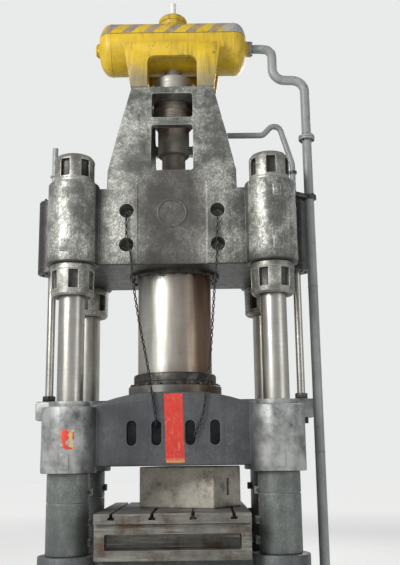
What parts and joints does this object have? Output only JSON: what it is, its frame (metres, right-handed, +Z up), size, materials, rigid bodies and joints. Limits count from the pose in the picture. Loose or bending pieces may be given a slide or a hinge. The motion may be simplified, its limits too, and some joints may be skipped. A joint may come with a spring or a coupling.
{
  "type": "four-column hydraulic forging press",
  "caption": "Hydraulic open-die forging press: columns with nuts, an upper crosshead with a windowed tower and yellow tank, a moving crosshead with its plunger, and a bed with a sliding table.",
  "frame": {"origin": "middle of the bed's underside, on the floor", "axes": "+Z up along the columns, -Y towards the operator at the front, +X to the operator's right"},
  "size_m": [4.655, 3.02, 10.6803],
  "materials": {
    "cast_steel": "worn bare cast steel",
    "dark_cast_steel": "dark oiled cast steel",
    "ground_steel": "ground and polished",
    "plate_steel": "scaled, worn steel plate",
    "yellow_enamel": "worn yellow paint",
    "grey_enamel": "worn grey paint",
    "white_enamel": "white paint",
    "bronze": "oiled bronze",
    "packing": "greased packing",
    "chain_steel": "dark oxidised chain"
  },
  "bodies": {
    "frame": {"bed": "dark_cast_steel", "chain_left": "chain_steel", "chain_right": "chain_steel", "column_front_left": "ground_steel", "column_front_right": "ground_steel", "column_rear_left": "ground_steel", "column_rear_right": "ground_steel", "crosshead_tower": "cast_steel", "cylinder_bush": "bronze", "cylinder_packing": "packing", "filling_valve_body": "grey_enamel", "foot_nut_front_left": "dark_cast_steel", "foot_nut_front_right": "dark_cast_steel", "foot_nut_rear_left": "dark_cast_steel", "foot_nut_rear_right": "dark_cast_steel", "gland_ring": "dark_cast_steel", "main_cylinder": "dark_cast_steel", "return_cylinder_left": "dark_cast_steel", "return_cylinder_right": "dark_cast_steel", "return_pipe_left": "grey_enamel", "return_pipe_right": "grey_enamel", "stop_sleeve_front_left": "grey_enamel", "stop_sleeve_front_right": "grey_enamel", "stop_sleeve_rear_left": "grey_enamel", "stop_sleeve_rear_right": "grey_enamel", "supply_bracket": "dark_cast_steel", "supply_pipe": "grey_enamel", "tank": "yellow_enamel", "tank_cradle": "yellow_enamel", "tank_end_cover": "yellow_enamel", "tank_manhole": "yellow_enamel", "top_nut_front_left": "cast_steel", "top_nut_front_right": "cast_steel", "top_nut_rear_left": "cast_steel", "top_nut_rear_right": "cast_steel", "under_nut_front_left": "cast_steel", "under_nut_front_right": "cast_steel", "under_nut_rear_left": "cast_steel", "under_nut_rear_right": "cast_steel", "upper_crosshead": "cast_steel", "vent_pipe": "white_enamel"},
    "crosshead": {"moving_crosshead": "dark_cast_steel", "plunger": "ground_steel", "plunger_retainer": "dark_cast_steel", "column_bush_front_left": "bronze", "column_bush_front_right": "bronze", "column_bush_rear_left": "bronze", "column_bush_rear_right": "bronze", "return_rod_left": "ground_steel", "return_rod_right": "ground_steel", "rod_nut_upper_left": "dark_cast_steel", "rod_nut_upper_right": "dark_cast_steel", "rod_nut_lower_left": "dark_cast_steel", "rod_nut_lower_right": "dark_cast_steel"},
    "table": {"tool_table": "plate_steel", "bolster_plate": "plate_steel", "lower_die": "plate_steel"}
  },
  "joints": [
    {"name": "crosshead_slide", "type": "slide", "parent": "frame", "child": "crosshead", "axis": [0, 0, 1], "range_m": [0, 0.95], "deforming": ["chain_left", "chain_right"]},
    {"name": "table_slide", "type": "slide", "parent": "frame", "child": "table", "axis": [0, 1, 0], "range_m": [-0.9, 0.9]}
  ]
}
